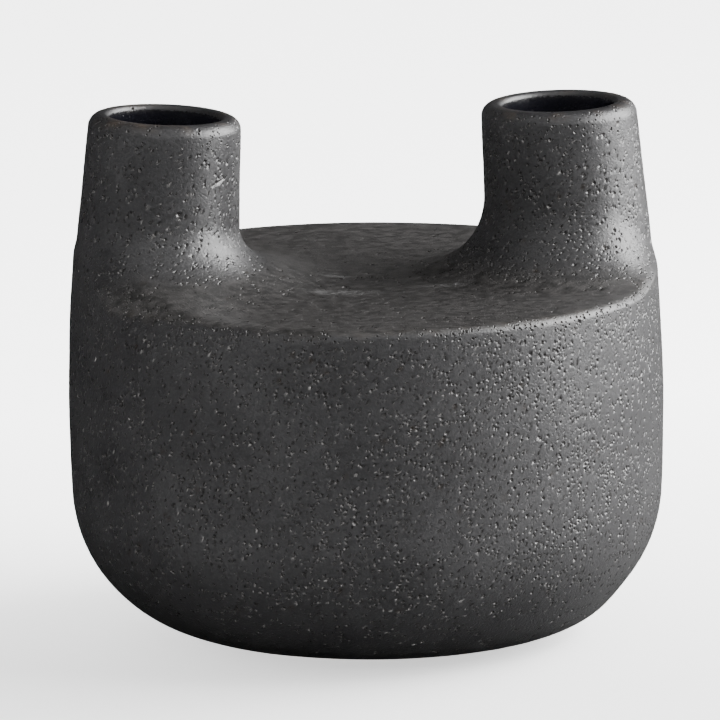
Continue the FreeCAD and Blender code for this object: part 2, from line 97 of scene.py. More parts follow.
# The clay under the glaze, where the soft edge of the shoulder shapes it too.
GLAZE = 0.8
CLAY_DEPTH = 7.5
SLAB_TOP = SHOULDER_HEIGHT - GLAZE
SLAB_BOTTOM = SLAB_TOP - 6.5
STEP_BOTTOM = SLAB_BOTTOM - 1.5
COLLAR_DEPTH = GLAZE + 0.5
COLLAR_EDGE = 0.3

# Burst bubbles: how many lie alone and how many chains there are, and their smallest and largest radii.
PITS, CHAINS, CHAIN_LINKS = 15000, 500, 7
PIT_RADII, CHAIN_RADII = (0.26, 1.0), (0.28, 0.5)
PIT_MEDIAN, PIT_SPREAD = 0.38, 0.26
# Depth as a share of the radius, and the deepest of all, which stops short of the clay.
PIT_DEPTHS, DEEPEST = (0.6, 1.0), 0.5
# The longest side of a triangle at a bubble, as a share of the bubble's radius.
PIT_TRIANGLE = 0.55
# Which side of a bubble its pale patch lies on, low down on the left where the wall faces the key lamp, and
# how strong it is. The patch is a painted highlight, the bubble's glint.
GLINT_SIDE = np.array([-0.75, -0.15, -0.64])
GLINT_MEAN, GLINT_SPREAD = 0.25, 0.4
# The larger brown spots.
SPOTS, SPOT_RADII, SPOT_DEPTH = 90, (1.0, 1.7), 0.2
# The nick in the left neck: height along it, degrees round from the front, and radius of its bubbles.
GASH_HEIGHT, GASH_TURN, GASH_RADIUS = 37.3, 38, 0.6

# The floor lies this far below the foot, so that the two don't share a plane.
FLOOR_GAP = 0.2

# The step of the grid that the fields are meshed on.
GRID = 1.25
SEED = 11


# The shape, as a distance field


def round_join(a, b, radius):
    """The union of two fields with a hollow round of this radius in the corner between them."""
    reach = np.hypot(np.maximum(radius - a, 0), np.maximum(radius - b, 0))
    return np.maximum(radius, np.minimum(a, b)) - reach


def round_trim(a, b, radius):
    """What two fields share, with a round of this radius along the edge between them."""
    reach = np.hypot(np.maximum(radius + a, 0), np.maximum(radius + b, 0))
    return np.minimum(-radius, np.maximum(a, b)) + reach


def body_distance(r, z):
    """Distance outside the turned body, whose wall runs straight on above the shoulder."""
    wall_x = BODY_RADIUS - WALL_ARC
    corner_reach = WALL_ARC - CORNER_ARC
    corner_x = wall_x + math.sqrt(corner_reach**2 - (BELLY_HEIGHT - CORNER_HEIGHT) ** 2)
    base_z = BASE_HEIGHT + BASE_ARC
    base_x = corner_x - math.sqrt((BASE_ARC - CORNER_ARC) ** 2 - (base_z - CORNER_HEIGHT) ** 2)
    lean = math.asin((SHOULDER_HEIGHT - BELLY_HEIGHT) / WALL_ARC)
    edge_r, edge_z = wall_x + WALL_ARC * math.cos(lean), SHOULDER_HEIGHT

    wall = np.hypot(r - wall_x, z - BELLY_HEIGHT) - WALL_ARC
    above = (r - edge_r) * math.cos(lean) + (z - edge_z) * math.sin(lean)
    corner = np.hypot(r - corner_x, z - CORNER_HEIGHT) - CORNER_ARC
    base = np.hypot(r - base_x, z - base_z) - BASE_ARC

    wall = np.where((r - wall_x) * math.sin(lean) < (z - BELLY_HEIGHT) * math.cos(lean), above, wall)
    to_corner = math.atan2(CORNER_HEIGHT - BELLY_HEIGHT, corner_x - wall_x)
    below_wall = np.arctan2(z - BELLY_HEIGHT, r - wall_x) < to_corner
    distance = np.where(below_wall, corner, wall)
    to_base = math.atan2(CORNER_HEIGHT - base_z, corner_x - base_x)
    below_corner = below_wall & (np.arctan2(z - CORNER_HEIGHT, r - corner_x) < to_base)
    distance = np.where(below_corner, base, distance)
    return np.where(below_corner & (r < base_x), BASE_HEIGHT - z, distance)


def neck_frame(p, side):
    """Radius from a neck's axis and height along it, for side -1 or 1."""
    lean = NECK_LEAN[side]
    x, y, z = p[:, 0] - side * NECK_OFFSET[side], p[:, 1], p[:, 2] - SHOULDER_HEIGHT
    across = x * math.cos(lean) + side * z * math.sin(lean)
    along = z * math.cos(lean) - side * x * math.sin(lean)
    return np.hypot(across, y), along


def above_rim(p, side):
    """Height above the plane of a neck's rim."""
    lean, tilt, height = NECK_LEAN[side], RIM_TILT[side], NECK_HEIGHT[side]
    x = p[:, 0] - side * (NECK_OFFSET[side] - height * math.sin(lean))
    z = p[:, 2] - SHOULDER_HEIGHT - height * math.cos(lean)
    return z * math.cos(tilt) - side * x * math.sin(tilt)


def neck_distance(p, side):
    """Distance outside a solid neck, which draws in below the shoulder so that it stays inside the wall."""
    radius, height = neck_frame(p, side)
    slope = (NECK_BASE[side] - NECK_TOP[side]) / NECK_HEIGHT[side]
    drawn_in = np.maximum(-height, 0) ** 2 / ROOT_CURVE
    outside = (radius - NECK_BASE[side] + slope * height) / math.hypot(1, slope) + drawn_in
    solid = round_trim(outside, above_rim(p, side), LIP_OUTER)
    return np.maximum(solid, -ROOT - height)


def bore_distance(p, side):
    """Distance outside a neck's bore, which runs on up past the rim and down into the room."""
    radius, height = neck_frame(p, side)
    slope = (BORE_BASE - BORE_TOP) / NECK_HEIGHT[side]
    return np.maximum(radius - BORE_BASE + slope * height, -BORE_DEPTH - height)


def wander(p):
    """The unevenness of a hand-made surface.

    It is a fraction of a millimetre, apart from a fuller corner low down at the front right.
    """
    turn = np.arctan2(p[:, 1], p[:, 0])
    height = p[:, 2] / SHOULDER_HEIGHT
    swell = 0.10 * np.sin(2 * turn + 0.7) + 0.07 * np.sin(3 * turn + 4.1 * height)
    rings = 0.05 * np.sin(26 * height + 1.3 * np.sin(turn)) * np.clip(2 * height, 0, 1)
    lumps = 0.06 * np.sin(p[:, 0] / 9.1 + 1.9) * np.sin(p[:, 1] / 7.7) * np.sin(p[:, 2] / 8.3 + 0.6)
    fuller = 2.2 * np.clip(np.cos(turn + 0.65), 0, 1) ** 3 * np.exp(-(((p[:, 2] - 8) / 7) ** 2))
    spare = 0.25 * np.clip(np.cos(turn), 0, 1) ** 2 * np.exp(-(((p[:, 2] - 110) / 12) ** 2))
    spare += 0.2 * np.clip(-np.cos(turn), 0, 1) ** 2 * np.exp(-(((p[:, 2] - 20) / 12) ** 2))
    return swell + rings + lumps - fuller + spare


def smooth_step(value, low, high):
    share = np.clip((value - low) / (high - low), 0, 1)
    return share * share * (3 - 2 * share)


def shoulder_height(p):
    """The flat shoulder, dished a little at its middle, lower at the back, and rising to the left neck."""
    spread = (p[:, 0] ** 2 + p[:, 1] ** 2) / BODY_RADIUS**2
    back = 0.5 * smooth_step(p[:, 1], 30, 100)
    from_neck = np.maximum(neck_distance(p, -1), 0)
    rise = MOUND * np.exp(-((from_neck / MOUND_REACH) ** 2))
    return SHOULDER_HEIGHT - 0.2 * np.exp(-3 * spread) - back + rise


def shoulder_edge(p):
    """Radius of the round along the shoulder's edge: soft in front of the left neck, crisp elsewhere."""
    turn = np.degrees(np.arctan2(-p[:, 1], -p[:, 0]))
    soft = np.where(turn > 0, smooth_step(turn, 82, 48), smooth_step(-turn, 75, 30) * 0.5)
    return SHOULDER_EDGE + (SOFT_EDGE - SHOULDER_EDGE) * soft


def flare(p, side):
    """Radius of the hollow round at the foot of a neck.

    It is least on the outer side, and the left neck's is wider in front than on the inner side.
    """
    x = side * p[:, 0] - NECK_OFFSET[side]
    from_outer = np.degrees(np.arctan2(np.abs(p[:, 1]), x))
    full = FLARE_RIGHT
    if side == -1:
        from_inner = np.degrees(np.arctan2(-p[:, 1], -x))
        wide = np.where(from_inner > 0, smooth_step(from_inner, 5, 60), 0)
        full = FLARE_INNER + (FLARE_FRONT - FLARE_INNER) * wide
    return FLARE_OUTER + (full - FLARE_OUTER) * smooth_step(from_outer, 15, 75)


def outside_distance(p):
    """The body and the necks that grow out of its shoulder, dressed off flush with the wall."""
    body = body_distance(np.hypot(p[:, 0], p[:, 1]), p[:, 2])
    distance = round_trim(p[:, 2] - shoulder_height(p), body, shoulder_edge(p))
    for side in (-1, 1):
        distance = round_join(distance, neck_distance(p, side), flare(p, side))
    trim = TRIM_EDGE * smooth_step(p[:, 2], SHOULDER_HEIGHT - 2, SHOULDER_HEIGHT + 8)
    return round_trim(distance, body, trim) + wander(p)


def hollow_distance(p):
    """The room inside and the two bores."""
    r, z = np.hypot(p[:, 0], p[:, 1]), p[:, 2]
    room = round_trim(body_distance(r, z) + WALL_DEPTH, z - ROOF_HEIGHT, ROOF_CURVE)
    room = np.maximum(room, FLOOR_HEIGHT - z)
    return np.minimum(room, np.minimum(bore_distance(p, -1), bore_distance(p, 1)))


def glaze_distance(p):
    """The whole glazed vase, hollow, with a shallow recess where the base is left bare."""
    skin = round_trim(outside_distance(p), -hollow_distance(p), LIP_INNER)
    bare = np.maximum(np.hypot(p[:, 0], p[:, 1]) - GLAZE_LINE, p[:, 2] - BARE_HEIGHT)
    return round_trim(skin, -bare, BARE_EDGE)


def in_batches(field, p, size=400000):
    return np.concatenate([field(p[i : i + size]) for i in range(0, len(p), size)])


def slope_of(field, p, step=0.02):
    """Unit gradient of a field, from four samples at the corners of a small tetrahedron."""
    corners = np.array([(1, 1, 1), (1, -1, -1), (-1, 1, -1), (-1, -1, 1)], float)
    total = sum(corner * in_batches(field, p + step * corner)[:, None] for corner in corners)
    return total / np.maximum(np.linalg.norm(total, axis=1), 1e-9)[:, None]


def settle(field, p, rounds=3):
    """Moves points onto the surface."""
    for _ in range(rounds):
        p = p - in_batches(field, p)[:, None] * slope_of(field, p)
    return p


# Meshing


def net(field, low, high, step):
    """A quad mesh of a field's surface: one point in each grid cell that the surface crosses."""
    axes = [np.arange(low[i], high[i] + step, step) for i in range(3)]
    shape = tuple(len(axis) for axis in axes)
    values = np.empty(shape)
    for i, x in enumerate(axes[0]):
        y, z = np.meshgrid(axes[1], axes[2], indexing="ij")
        layer = np.column_stack([np.full(y.size, x), y.ravel(), z.ravel()])
        values[i] = field(layer).reshape(shape[1:])
    inside = values < 0
    corners = list(product((0, 1), repeat=3))
    cells = tuple(n - 1 for n in shape)
    count = sum(
        inside[i : i + cells[0], j : j + cells[1], k : k + cells[2]].astype(np.int8) for i, j, k in corners
    )
    active = np.argwhere((count > 0) & (count < 8))
    total, crossings = np.zeros((len(active), 3)), np.zeros(len(active))
    for a in corners:
        for b in corners:
            if sum(b) - sum(a) != 1 or any(b[n] < a[n] for n in range(3)):
                continue
            at_a, at_b = (values[tuple((active + corner).T)] for corner in (a, b))
            crossed = (at_a < 0) != (at_b < 0)
            share = np.where(crossed, at_a / np.where(crossed, at_a - at_b, 1), 0)
            spot = np.array(a) + share[:, None] * (np.array(b) - np.array(a))
            total += np.where(crossed[:, None], spot, 0)
            crossings += crossed
    points = np.array([axis[0] for axis in axes]) + step * (active + total / crossings[:, None])
    index = np.full(cells, -1)
    index[tuple(active.T)] = np.arange(len(active))
    quads = [net_quads(inside, index, axis) for axis in range(3)]
    return points, np.concatenate(quads)


def net_quads(inside, index, axis):
    """The quads round every grid edge along an axis that the surface crosses."""
    here = np.moveaxis(inside, axis, 0)
    cells = np.moveaxis(index, axis, 0)
    crossed = here[1:, 1:-1, 1:-1] != here[:-1, 1:-1, 1:-1]
    spots = np.argwhere(crossed)
    i, j, k = spots[:, 0], spots[:, 1], spots[:, 2]
    ring = np.column_stack([cells[i, j, k], cells[i, j + 1, k], cells[i, j + 1, k + 1], cells[i, j, k + 1]])
    flip = here[:-1, 1:-1, 1:-1][crossed]
    if axis == 1:
        flip = ~flip
    return np.where(flip[:, None], ring, ring[:, ::-1])


def relax(field, points, quads, rounds):
    """Evens out the quads and puts the points back on the surface."""
    pairs = np.concatenate([quads[:, [n, (n + 1) % 4]] for n in range(4)])
    ends = np.concatenate([pairs, pairs[:, ::-1]])
    degree = np.bincount(ends[:, 0], minlength=len(points))
    for _ in range(rounds):
        mean = np.column_stack(
            [np.bincount(ends[:, 0], points[ends[:, 1], n], len(points)) / degree for n in range(3)]
        )
        points = settle(field, 0.5 * points + 0.5 * mean, 1)
    return points


def split(points, triangles, wanted):
    """Splits each wanted edge at its middle. wanted takes the ends and length of every edge."""
    sides = np.concatenate([triangles[:, [n, (n + 1) % 3]] for n in range(3)])
    keys, inverse = np.unique(sides.min(1) * len(points) + sides.max(1), return_inverse=True)
    edges = np.column_stack([keys // len(points), keys % len(points)])
    length = np.linalg.norm(points[edges[:, 0]] - points[edges[:, 1]], axis=1)
    marked = wanted(edges, length)
    middle = np.where(marked, len(points) + np.cumsum(marked) - 1, -1)
    points = np.concatenate([points, (points[edges[marked, 0]] + points[edges[marked, 1]]) / 2])
    mids = middle[inverse.reshape(3, -1).T]
    split_count = (mids >= 0).sum(1)
    made = [triangles[split_count == 0]]
    for n in range(3):
        turn = [n, (n + 1) % 3, (n + 2) % 3]
        corners, halves = triangles[:, turn], mids[:, turn]
        one = (split_count == 1) & (halves[:, 0] >= 0)
        a, b, c = corners[one].T
        mid = halves[one, 0]
        made += [np.column_stack(each) for each in ((a, mid, c), (mid, b, c))]
        two = (split_count == 2) & (halves[:, 2] < 0)
        a, b, c = corners[two].T
        ab, bc = halves[two, 0], halves[two, 1]
        made += [np.column_stack(each) for each in ((ab, b, bc), (a, ab, bc), (a, bc, c))]
    three = split_count == 3
    a, b, c = triangles[three].T
    ab, bc, ca = mids[three].T
    made += [np.column_stack(each) for each in ((a, ab, ca), (ab, b, bc), (ca, bc, c), (ab, bc, ca))]
    return points, np.concatenate(made)


# Burst bubbles


def scatter_pits(points, triangles, random, count, low, high):
    """Centres and radii of bubbles, thicker on the front and the walls than on the shoulder."""
    a, b, c = (points[triangles[:, n]] for n in range(3))
    cross = np.cross(b - a, c - a)
    area = np.linalg.norm(cross, axis=1)
    up = cross[:, 2] / np.maximum(area, 1e-9)
    middle = (a + b + c) / 3
    chance = area * pit_density(middle, up)
    chosen = random.choice(len(triangles), count, p=chance / chance.sum())
    u, v = random.random((2, count, 1))
    u, v = np.where(u + v > 1, 1 - u, u), np.where(u + v > 1, 1 - v, v)
    centres = a[chosen] + u * (b - a)[chosen] + v * (c - a)[chosen]
    radii = np.clip(random.lognormal(math.log(PIT_MEDIAN), PIT_SPREAD, count), low, high)
    return centres, radii


def chain_pits(seeds, links, random):
    """Short wandering chains of bubbles, one from each seed."""
    normals = slope_of(glaze_distance, seeds)
    along = np.cross(normals, random.normal(size=seeds.shape))
    along /= np.linalg.norm(along, axis=1)[:, None]
    spacing = random.uniform(1.0, 1.9, (len(seeds), 1, 1))
    wobble = random.normal(0, 0.25, (len(seeds), links, 3))
    steps = np.arange(links)[None, :, None]
    chains = seeds[:, None] + along[:, None] * steps * spacing + wobble
    return settle(glaze_distance, chains.reshape(-1, 3))


def gash_pits(side, height, turn, links=14):
    """A short slanting nick in a neck: bubbles run together, at a height along it and an angle round it."""
    slant = np.linspace(-1, 1, links)
    angles, heights = np.radians(turn + 6 * slant), SHOULDER_HEIGHT + height + 0.9 * slant
    axis = side * (NECK_OFFSET[side] - height * math.sin(NECK_LEAN[side]))
    radius = NECK_BASE[side] - height * (NECK_BASE[side] - NECK_TOP[side]) / NECK_HEIGHT[side]
    points = np.column_stack([axis + radius * np.sin(angles), -radius * np.cos(angles), heights])
    return settle(glaze_distance, points)


def pit_density(p, up):
    """How thickly the bubbles lie: patches on the walls, few on the shoulder and towards the foot."""
    turn = np.arctan2(p[:, 1], p[:, 0])
    front = 0.5 + 0.5 * np.cos(turn + 1.15)
    patches = 0.75 + 0.25 * np.sin(p[:, 0] / 11 + 1) * np.sin(p[:, 1] / 13 + p[:, 2] / 9)
    foot = np.clip((p[:, 2] - 8) / 30, 0.12, 1)
    shoulder = np.where((up > 0.9) & (p[:, 2] > 100), 0.12, 1)
    outer = 1 / (1 + np.exp(-(hollow_distance(p) - 1.5) * 4))
    return patches * foot * shoulder * outer * (0.35 + 0.65 * front)


def near_pairs(points, centres, reach):
    """Every pair of a centre and a point nearer than reach to it, and how far apart they are."""
    low = points.min(0) - 2 * reach
    count = np.ceil((points.max(0) - low) / reach).astype(int) + 3

    def cell(p):
        x, y, z = ((p - low) / reach).astype(int).T
        return (x * count[1] + y) * count[2] + z

    keys = cell(points)
    order = np.argsort(keys, kind="stable")
    keys = keys[order]
    home = cell(centres)
    found = []
    for i, j, k in product((-1, 0, 1), repeat=3):
        step = (i * count[1] + j) * count[2] + k
        start = np.searchsorted(keys, home + step)
        many = np.searchsorted(keys, home + step, side="right") - start
        centre = np.repeat(np.arange(len(centres)), many)
        ramp = np.arange(many.sum()) - np.repeat(np.cumsum(many) - many, many)
        point = order[np.repeat(start, many) + ramp]
        away = np.linalg.norm(points[point] - centres[centre], axis=1)
        close = away < reach
        found.append((centre[close], point[close], away[close]))
    return [np.concatenate(each) for each in zip(*found)]


def refine_pits(points, triangles, centres, radii, levels):
    """Splits the triangles round every bubble that are too large for it, level by level."""
    for level in range(levels):
        margin = GRID / 2 ** (level + 1)
        centre, point, away = near_pairs(points, centres, 1.25 * radii.max() + margin)
        close = away < 1.25 * radii[centre] + margin
        size = np.full(len(points), np.inf)
        np.minimum.at(size, point[close], PIT_TRIANGLE * radii[centre[close]])
        points, triangles = split(points, triangles, lambda edges, length: length > size[edges].max(1))
    return points, triangles


def dent(points, centres, radii, depths, pale):
    """Depth of every point below the smooth surface, how far inside a bubble it is, and its painted glint.

    A bubble is a bowl with a low rim round it. Its glint is a painted highlight: pale colour along the lower
    left of its wall, the side that faces the key lamp, as strong as pale says.
    """
    centre, point, away = near_pairs(points, centres, 1.6 * radii.max())
    away = away / radii[centre]
    bowl = depths[centre] * np.clip(1 - away**2, 0, 1) ** 1.5
    rim = 0.12 * depths[centre] * np.exp(-(((away - 1.12) / 0.2) ** 2))
    # The painted highlight: pale colour on the side of the bubble's wall that faces the key lamp.
    side = (points[point] - centres[centre]) @ GLINT_SIDE / radii[centre]
    painted_glint = pale[centre] * np.clip(4 * side - 0.9, 0, 1) * np.clip(6 - 6 * away, 0, 1)
    depth, inside, painted_glints = (np.zeros(len(points)) for _ in range(3))
    np.maximum.at(depth, point, bowl)
    np.subtract.at(depth, point, rim)
    np.maximum.at(inside, point, np.clip(1.3 - away, 0, 1))
    np.maximum.at(painted_glints, point, painted_glint)
    return depth, inside, painted_glints


# Meshes and materials


def mesh_object(name, points, faces, material):
    """An object from points in millimetres."""
    mesh = bpy.data.meshes.new(name)
    mesh.vertices.add(len(points))
    mesh.vertices.foreach_set("co", (points * MM).astype(np.float32).ravel())
    mesh.loops.add(faces.size)
    mesh.loops.foreach_set("vertex_index", faces.astype(np.int32).ravel())
    mesh.polygons.add(len(faces))
    mesh.polygons.foreach_set("loop_start", np.arange(0, faces.size, faces.shape[1], dtype=np.int32))
    mesh.update(calc_edges=True)
    mesh.validate()
    mesh.shade_smooth()
    mesh.materials.append(material)
    made = bpy.data.objects.new(name, mesh)
    bpy.context.scene.collection.objects.link(made)
    return made


def point_values(made, name, values):
    made.data.attributes.new(name, "FLOAT", "POINT").data.foreach_set("value", values.astype(np.float32))


class Nodes:
    """A material's node tree, with short calls for the nodes used here."""

    def __init__(self, name):
        self.material = bpy.data.materials.new(name)
        self.material.use_nodes = True
        self.tree = self.material.node_tree
        self.shader = self.tree.nodes["Principled BSDF"]
        self.place = self.add("ShaderNodeTexCoord").outputs["Object"]

    def add(self, kind, **settings):
        node = self.tree.nodes.new(kind)
        for key, setting in settings.items():
            setattr(node, key, setting)
        return node

    def link(self, source, target):
        self.tree.links.new(source, target)

    def set(self, target, source):
        if isinstance(source, (int, float, tuple)):
            target.default_value = source
        else:
            self.link(source, target)

    def along(self, axis):
        """Place along an axis, in metres."""
        node = self.add("ShaderNodeSeparateXYZ")
        self.link(self.place, node.inputs["Vector"])
        return node.outputs[axis]

    def noise(self, scale, detail, roughness=0.55):
        node = self.add("ShaderNodeTexNoise")
        self.link(self.place, node.inputs["Vector"])
        node.inputs["Scale"].default_value = scale
        node.inputs["Detail"].default_value = detail
        node.inputs["Roughness"].default_value = roughness
        return node.outputs["Fac"]

    def value(self, name):
        return self.add("ShaderNodeAttribute", attribute_name=name).outputs["Fac"]

    def ramp(self, source, low, high, low_out=0.0, high_out=1.0):
        node = self.add("ShaderNodeMapRange", clamp=True)
        self.link(source, node.inputs["Value"])
        for key, number in (("From Min", low), ("From Max", high), ("To Min", low_out), ("To Max", high_out)):
            node.inputs[key].default_value = number
        return node.outputs["Result"]

    def math(self, operation, a, b):
        node = self.add("ShaderNodeMath", operation=operation)
        self.set(node.inputs[0], a)
        self.set(node.inputs[1], b)
        return node.outputs["Value"]

    def mix(self, factor, a, b):
        node = self.add("ShaderNodeMix", data_type="RGBA")
        self.set(node.inputs["Factor"], factor)
        self.set(node.inputs["A"], a)
        self.set(node.inputs["B"], b)
        return node.outputs["Result"]

    def bump(self, height, strength, distance, below=None):
        node = self.add("ShaderNodeBump")
        node.inputs["Strength"].default_value = strength
        node.inputs["Distance"].default_value = distance
        self.link(height, node.inputs["Height"])
        if below is not None:
            self.link(below, node.inputs["Normal"])
        return node.outputs["Normal"]


def pinholes(nodes, scale, size):
    """Round pinholes scattered through space: 1 outside them, falling to 0 in their middles."""
    cells = nodes.add("ShaderNodeTexVoronoi", feature="F1")
    nodes.link(nodes.place, cells.inputs["Vector"])
    cells.inputs["Scale"].default_value = scale
    return nodes.ramp(cells.outputs["Distance"], 0.0, size)


def patch(nodes, middle, reach):
    """1 at a spot in space, falling to 0 at the rim of an ellipsoid round it. Both are in millimetres."""
    away = nodes.place
    for operation, numbers in (("SUBTRACT", middle), ("DIVIDE", reach)):
        node = nodes.add("ShaderNodeVectorMath", operation=operation)
        nodes.link(away, node.inputs[0])
        node.inputs[1].default_value = [number * MM for number in numbers]
        away = node.outputs["Vector"]
    size = nodes.add("ShaderNodeVectorMath", operation="LENGTH")
    nodes.link(away, size.inputs[0])
    return nodes.ramp(size.outputs["Value"], 0.2, 1.0, 1.0, 0.0)


def streaks(nodes, along, across, detail):
    """Noise drawn out along X."""
    stretch = nodes.add("ShaderNodeMapping")
    nodes.link(nodes.place, stretch.inputs["Vector"])
    stretch.inputs["Scale"].default_value = (along, across, across)
    node = nodes.add("ShaderNodeTexNoise")
    nodes.link(stretch.outputs["Vector"], node.inputs["Vector"])
    node.inputs["Scale"].default_value = 1.0
    node.inputs["Detail"].default_value = detail
    return node.outputs["Fac"]


# Pale rubbed places on the shoulder and one chip on the wall: middle and reach of each, in millimetres.
SCUFFS = (
    ((-11, -4, 121), (9, 3, 4)),
    ((-14, -31, 121), (20, 5, 4)),
    ((57, 0, 121), (9, 11, 4)),
    ((22, -24, 121), (14, 4, 4)),
)
CHIP = ((-84, -53.3, 42.8), (0.7, 0.7, 0.5))

# The glaze's colours. Its grain runs from dark to light, and each of those has two tones, as have the flat's
# streaks.
DARK_TONES = ((0.0065, 0.0062, 0.0067, 1), (0.0100, 0.0097, 0.0101, 1))
LIGHT_TONES = ((0.0180, 0.0175, 0.0185, 1), (0.0260, 0.0254, 0.0264, 1))
FLAT_TONES = ((0.009, 0.0085, 0.008, 1), (0.033, 0.031, 0.030, 1))
SPECKLE_COLOUR = (0.011, 0.010, 0.010, 1)
# Near black, painted as shade over the lowest part of the wall, towards the foot.
FOOT_SHADE_COLOUR = (0.004, 0.004, 0.004, 1)
RUBBED_COLOUR = (0.055, 0.053, 0.052, 1)
SCRATCH_COLOUR = (0.12, 0.12, 0.12, 1)
CHIP_COLOUR = (0.6, 0.58, 0.56, 1)
THIN_COLOUR = (0.048, 0.036, 0.027, 1)
# For values kept on the skin's points: how strongly each tints the glaze, and its colour.
TINTS = {
    # Painted shade: the wall of each mouth below the lip, near black.
    "inner": (0.95, (0.004, 0.004, 0.006, 1)),
    "pit": (0.7, (0.007, 0.006, 0.005, 1)),
    "spot": (0.85, (0.010, 0.007, 0.005, 1)),
    # A painted highlight: the pale glint on one side of each bubble.
    "painted_glint": (0.9, (0.17, 0.165, 0.16, 1)),
}
# How much of its roughness the glaze loses to each.
GLOSS = {"pit": 0.34, "inner": 0.22, "spot": 0.08}
LEAST_ROUGH = 0.12
GLAZE_IOR = 1.52


def glaze_material():
    """Dark satin glaze: mottled, brown where it runs thin, streaky on the flat, glossier inside a bubble."""
    nodes = Nodes("dark_glaze")
    cloud = nodes.ramp(nodes.noise(28, 5), 0.35, 0.65)
    grain = nodes.noise(1150, 3, 0.65)
    colour = nodes.mix(
        nodes.ramp(grain, 0.36, 0.64), nodes.mix(cloud, *DARK_TONES), nodes.mix(cloud, *LIGHT_TONES)
    )
    speckle = nodes.ramp(nodes.noise(700, 3, 0.6), 0.56, 0.66, 0.0, 0.35)
    colour = nodes.mix(speckle, colour, SPECKLE_COLOUR)

    # Painted shade: the glaze is darkened over the lowest 50 mm, towards the foot.
    foot_shade = nodes.ramp(nodes.along("Z"), 0.0, 0.05, 0.7, 0.0)
    colour = nodes.mix(foot_shade, colour, FOOT_SHADE_COLOUR)
    top = nodes.value("top")
    drawn = nodes.ramp(streaks(nodes, 260, 420, 5), 0.38, 0.64)
    colour = nodes.mix(nodes.math("MULTIPLY", top, 0.9), colour, nodes.mix(drawn, *FLAT_TONES))
    rubbed = patch(nodes, *SCUFFS[0])
    for middle, reach in SCUFFS[1:]:
        rubbed = nodes.math("MAXIMUM", rubbed, patch(nodes, middle, reach))
    scratched = nodes.math("MULTIPLY", rubbed, nodes.ramp(streaks(nodes, 320, 800, 6), 0.48, 0.62))
    colour = nodes.mix(nodes.math("MULTIPLY", rubbed, 0.3), colour, RUBBED_COLOUR)
    colour = nodes.mix(nodes.math("MULTIPLY", scratched, 0.6), colour, SCRATCH_COLOUR)
    colour = nodes.mix(patch(nodes, *CHIP), colour, CHIP_COLOUR)

    thin = nodes.math("MULTIPLY", nodes.value("thin"), nodes.ramp(nodes.noise(120, 4), 0.5, 0.8))
    colour = nodes.mix(thin, colour, THIN_COLOUR)
    # Among these tints, the near-black one on the mouth walls is painted shade and the pale one in each
    # bubble is a painted highlight.
    for name, (strength, tint) in TINTS.items():
        colour = nodes.mix(nodes.math("MULTIPLY", nodes.value(name), strength), colour, tint)
    nodes.set(nodes.shader.inputs["Base Color"], colour)

    rough = nodes.ramp(grain, 0.3, 0.7, 0.31, 0.41)
    rough = nodes.math("ADD", rough, nodes.math("MULTIPLY", top, 0.08))
    for name, gloss in GLOSS.items():
        rough = nodes.math("SUBTRACT", rough, nodes.math("MULTIPLY", nodes.value(name), gloss))
    nodes.set(nodes.shader.inputs["Roughness"], nodes.math("MAXIMUM", rough, LEAST_ROUGH))
    nodes.shader.inputs["IOR"].default_value = GLAZE_IOR
    fine = nodes.bump(grain, 0.7, 0.0002)
    pores = nodes.bump(pinholes(nodes, 620, 0.28), 0.35, 0.00025, fine)
    nodes.set(nodes.shader.inputs["Normal"], pores)
    return nodes.material


def liner_material():
    """The smoother dark glaze inside."""
    nodes = Nodes("liner_glaze")
    cloud = nodes.ramp(nodes.noise(40, 4), 0.35, 0.65)
    colour = nodes.mix(cloud, (0.018, 0.018, 0.022, 1), (0.03, 0.029, 0.034, 1))
    nodes.set(nodes.shader.inputs["Base Color"], colour)
    nodes.set(nodes.shader.inputs["Roughness"], nodes.ramp(nodes.noise(300, 3), 0.3, 0.7, 0.24, 0.36))
    nodes.set(nodes.shader.inputs["Normal"], nodes.bump(nodes.noise(260, 4), 0.2, 0.0002))
    return nodes.material


def clay_material():
    """Bare fired stoneware: warm, dry and speckled with iron."""
    nodes = Nodes("stoneware")
    cloud = nodes.ramp(nodes.noise(45, 5), 0.3, 0.7)
    colour = nodes.mix(cloud, (0.20, 0.135, 0.09, 1), (0.29, 0.205, 0.145, 1))
    speck = nodes.ramp(nodes.noise(1500, 2, 0.4), 0.66, 0.72)
    colour = nodes.mix(speck, colour, (0.05, 0.03, 0.02, 1))
    nodes.set(nodes.shader.inputs["Base Color"], colour)
    nodes.set(nodes.shader.inputs["Roughness"], 0.88)
    nodes.set(nodes.shader.inputs["Normal"], nodes.bump(nodes.noise(1100, 5, 0.7), 0.5, 0.00025))
    return nodes.material


def floor_material():
    """White card that glows, most of all behind the vase, so that the backdrop is nearly white."""
    nodes = Nodes("studio_floor")
    nodes.set(nodes.shader.inputs["Base Color"], (0.9, 0.9, 0.9, 1))
    nodes.set(nodes.shader.inputs["Roughness"], 0.75)
    nodes.set(nodes.shader.inputs["Emission Color"], (1, 1, 1, 1))
    glow = nodes.ramp(nodes.along("Y"), -0.1, 0.35, 0.7, 2.8)
    nodes.set(nodes.shader.inputs["Emission Strength"], glow)
    return nodes.material


# The vase


def burst_bubbles(points, triangles, random):
    """Centre, radius and depth of every burst bubble: those that lie alone, the chains and the nick."""
    few = 1
    centres, radii = scatter_pits(points, triangles, random, PITS // few, *PIT_RADII)
    seeds, _ = scatter_pits(points, triangles, random, CHAINS // few, *PIT_RADII)
    chained = chain_pits(seeds, CHAIN_LINKS, random)
    chain_radii = random.uniform(*CHAIN_RADII, len(chained))
    gash = gash_pits(-1, GASH_HEIGHT, GASH_TURN)
    centres = np.concatenate([centres, chained, gash])
    radii = np.concatenate([radii, chain_radii, np.full(len(gash), GASH_RADIUS)])
    depths = np.minimum(radii * random.uniform(*PIT_DEPTHS, len(radii)), DEEPEST)
    return centres, radii, depths


